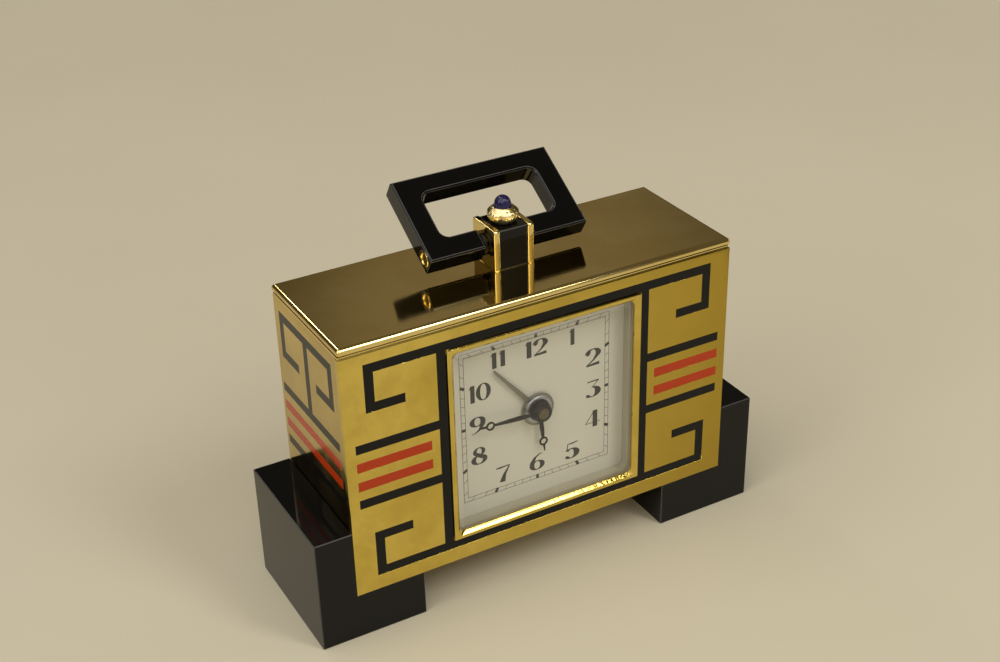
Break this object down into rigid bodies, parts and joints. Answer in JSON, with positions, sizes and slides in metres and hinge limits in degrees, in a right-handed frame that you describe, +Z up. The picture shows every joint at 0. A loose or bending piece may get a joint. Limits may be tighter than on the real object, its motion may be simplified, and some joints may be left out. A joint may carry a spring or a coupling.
{
  "type": "carriage clock",
  "caption": "Rectangular desk alarm clock with a swinging top handle, inlaid key pattern, square dial and block feet at its lower corners.",
  "frame": {"origin": "on the table under the middle of the clock's outline, which runs from the bezel's face in front to the time knob's end behind", "axes": "+X right for someone who faces the dial, +Y away from them, towards the back cover, +Z up"},
  "size_m": [0.1076, 0.037, 0.0847],
  "materials": {
    "mirror_gold": "mirror polished gold plate",
    "satin_gold": "satin gold plate with faint tarnish",
    "black_lacquer": "gloss lacquer laid flush",
    "red_lacquer": "gloss lacquer laid flush",
    "black_stone": "polished",
    "blue_stone": "polished cabochon",
    "crystal": "clear with a polished bevel",
    "cream_paint": "matt cream",
    "grey_steel": "satin grey",
    "black_steel": "satin black",
    "brass": "plain brass",
    "moulding": "moulded",
    "circuit": "green circuit board",
    "copper": "enamelled copper wire",
    "battery_wrap": "plain printed sleeve"
  },
  "bodies": {
    "case": {"front_plate": "satin_gold", "case_shell": "mirror_gold", "top_plate": "mirror_gold", "back_cover": "satin_gold", "back_cover_screw_1": "mirror_gold", "back_cover_screw_2": "mirror_gold", "back_cover_screw_3": "mirror_gold", "back_cover_screw_4": "mirror_gold", "bezel": "mirror_gold", "crystal": "crystal", "dial_surround": "cream_paint", "dial_plate": "cream_paint", "front_black_lacquer": "black_lacquer", "front_red_bar_upper_left": "red_lacquer", "front_red_bar_upper_right": "red_lacquer", "front_red_bar_lower_left": "red_lacquer", "front_red_bar_lower_right": "red_lacquer", "left_black_lacquer_upper": "black_lacquer", "left_black_lacquer_lower": "black_lacquer", "left_red_bar_upper": "red_lacquer", "left_red_bar_lower": "red_lacquer", "right_black_lacquer_upper": "black_lacquer", "right_black_lacquer_lower": "black_lacquer", "right_red_bar_upper": "red_lacquer", "right_red_bar_lower": "red_lacquer", "left_foot": "black_stone", "right_foot": "black_stone", "left_foot_screw": "grey_steel", "right_foot_screw": "grey_steel", "post_core": "black_stone", "left_cheek": "mirror_gold", "right_cheek": "mirror_gold", "post_screw": "grey_steel", "gem_collar": "mirror_gold", "cabochon": "blue_stone", "movement_front": "moulding", "movement_back": "moulding", "circuit_board": "circuit", "coil": "copper", "buzzer": "black_steel", "battery": "battery_wrap", "battery_contact": "grey_steel"},
    "handle": {"handle_loop": "black_stone", "handle_pin": "mirror_gold", "handle_pin_cap": "mirror_gold", "left_spacer": "black_steel", "right_spacer": "black_steel"},
    "minute": {"minute_arbor": "brass", "minute_hand": "black_steel", "centre_cap": "black_steel", "time_knob": "mirror_gold"},
    "intermediate": {"intermediate_wheel": "brass"},
    "hour": {"hour_wheel": "brass", "hour_hand": "black_steel"},
    "alarm": {"alarm_wheel": "brass", "alarm_hand": "grey_steel"},
    "alarm_setting": {"alarm_shaft": "brass", "alarm_knob": "mirror_gold"},
    "alarm_slide": {"alarm_switch": "black_steel"},
    "hatch": {"battery_hatch": "satin_gold"}
  },
  "joints": [
    {"name": "handle_swing", "type": "hinge", "parent": "case", "child": "handle", "pos_m": [0, -0.00105, 0.0733], "axis": [1, 0, 0], "range_deg": [-35, 150]},
    {"name": "minute_spin", "type": "hinge", "parent": "case", "child": "minute", "pos_m": [0, 0, 0.0391], "axis": [0, 1, 0], "continuous": true},
    {"name": "intermediate_spin", "type": "hinge", "parent": "case", "child": "intermediate", "pos_m": [-0.00566, 0, 0.04476], "axis": [0, 1, 0], "continuous": true},
    {"name": "hour_spin", "type": "hinge", "parent": "case", "child": "hour", "pos_m": [0, 0, 0.0391], "axis": [0, 1, 0], "continuous": true},
    {"name": "alarm_hand_spin", "type": "hinge", "parent": "case", "child": "alarm", "pos_m": [0, 0, 0.0391], "axis": [0, 1, 0], "continuous": true},
    {"name": "alarm_knob_spin", "type": "hinge", "parent": "case", "child": "alarm_setting", "pos_m": [0.00849, 0, 0.04759], "axis": [0, 1, 0], "continuous": true},
    {"name": "alarm_switch_slide", "type": "slide", "parent": "case", "child": "alarm_slide", "axis": [1, 0, 0], "range_m": [0, 0.0035]},
    {"name": "battery_hatch_slide", "type": "slide", "parent": "case", "child": "hatch", "axis": [0, 1, 0], "range_m": [0, 0.012]}
  ],
  "couplings": [
    {"joint": "intermediate_spin", "follows": "minute_spin", "ratio": -0.33333},
    {"joint": "hour_spin", "follows": "minute_spin", "ratio": 0.083333},
    {"joint": "alarm_knob_spin", "follows": "alarm_hand_spin", "ratio": -1}
  ]
}
